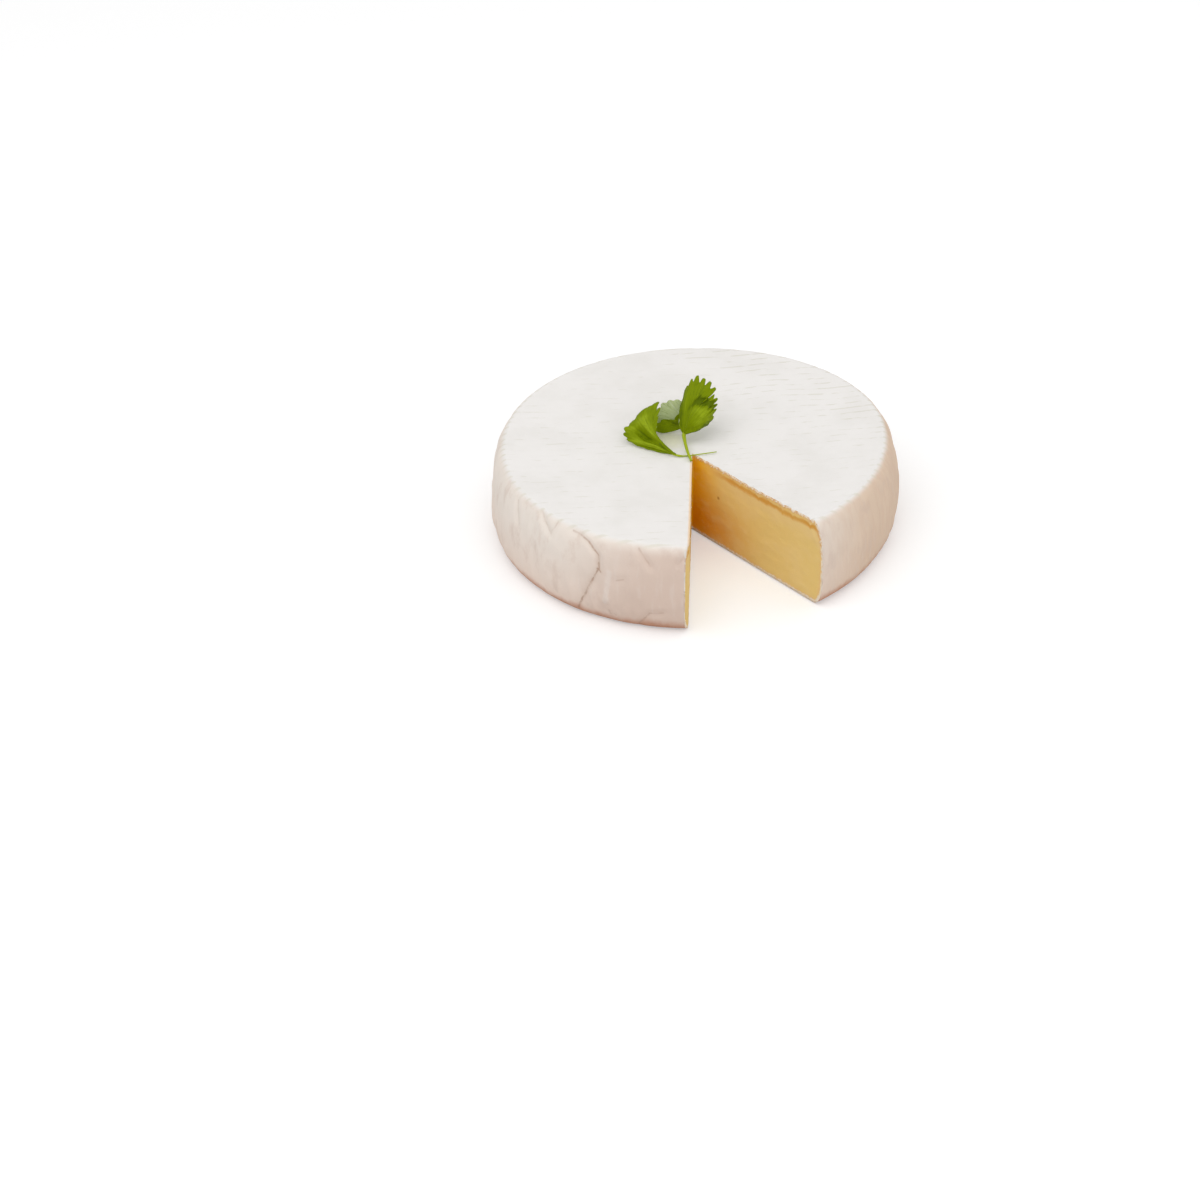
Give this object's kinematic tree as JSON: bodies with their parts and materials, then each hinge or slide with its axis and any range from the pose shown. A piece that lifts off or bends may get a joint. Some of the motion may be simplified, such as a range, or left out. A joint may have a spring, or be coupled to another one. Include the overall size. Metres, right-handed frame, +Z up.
{
  "type": "camembert wheel with a missing wedge and a herb sprig",
  "caption": "Low round soft-ripened cheese with a rounded rim and a sunken top, one wedge cut out to the middle, and a parsley garnish lying at the cut.",
  "frame": {"origin": "centre of the whole wheel's flat base, before its wedge was cut out", "axes": "+Z up through the wheel's thickness, -Y out through the missing wedge, +X to the right"},
  "size_m": [0.1111, 0.1061, 0.0392],
  "materials": {
    "cheese": "matte, white bloomy rind over ochre paste",
    "herb_leaf": "satin, fresh green"
  },
  "bodies": {
    "root": {"wheel": "cheese", "sprig": "herb_leaf", "curled_leaf": "herb_leaf"}
  },
  "joints": []
}
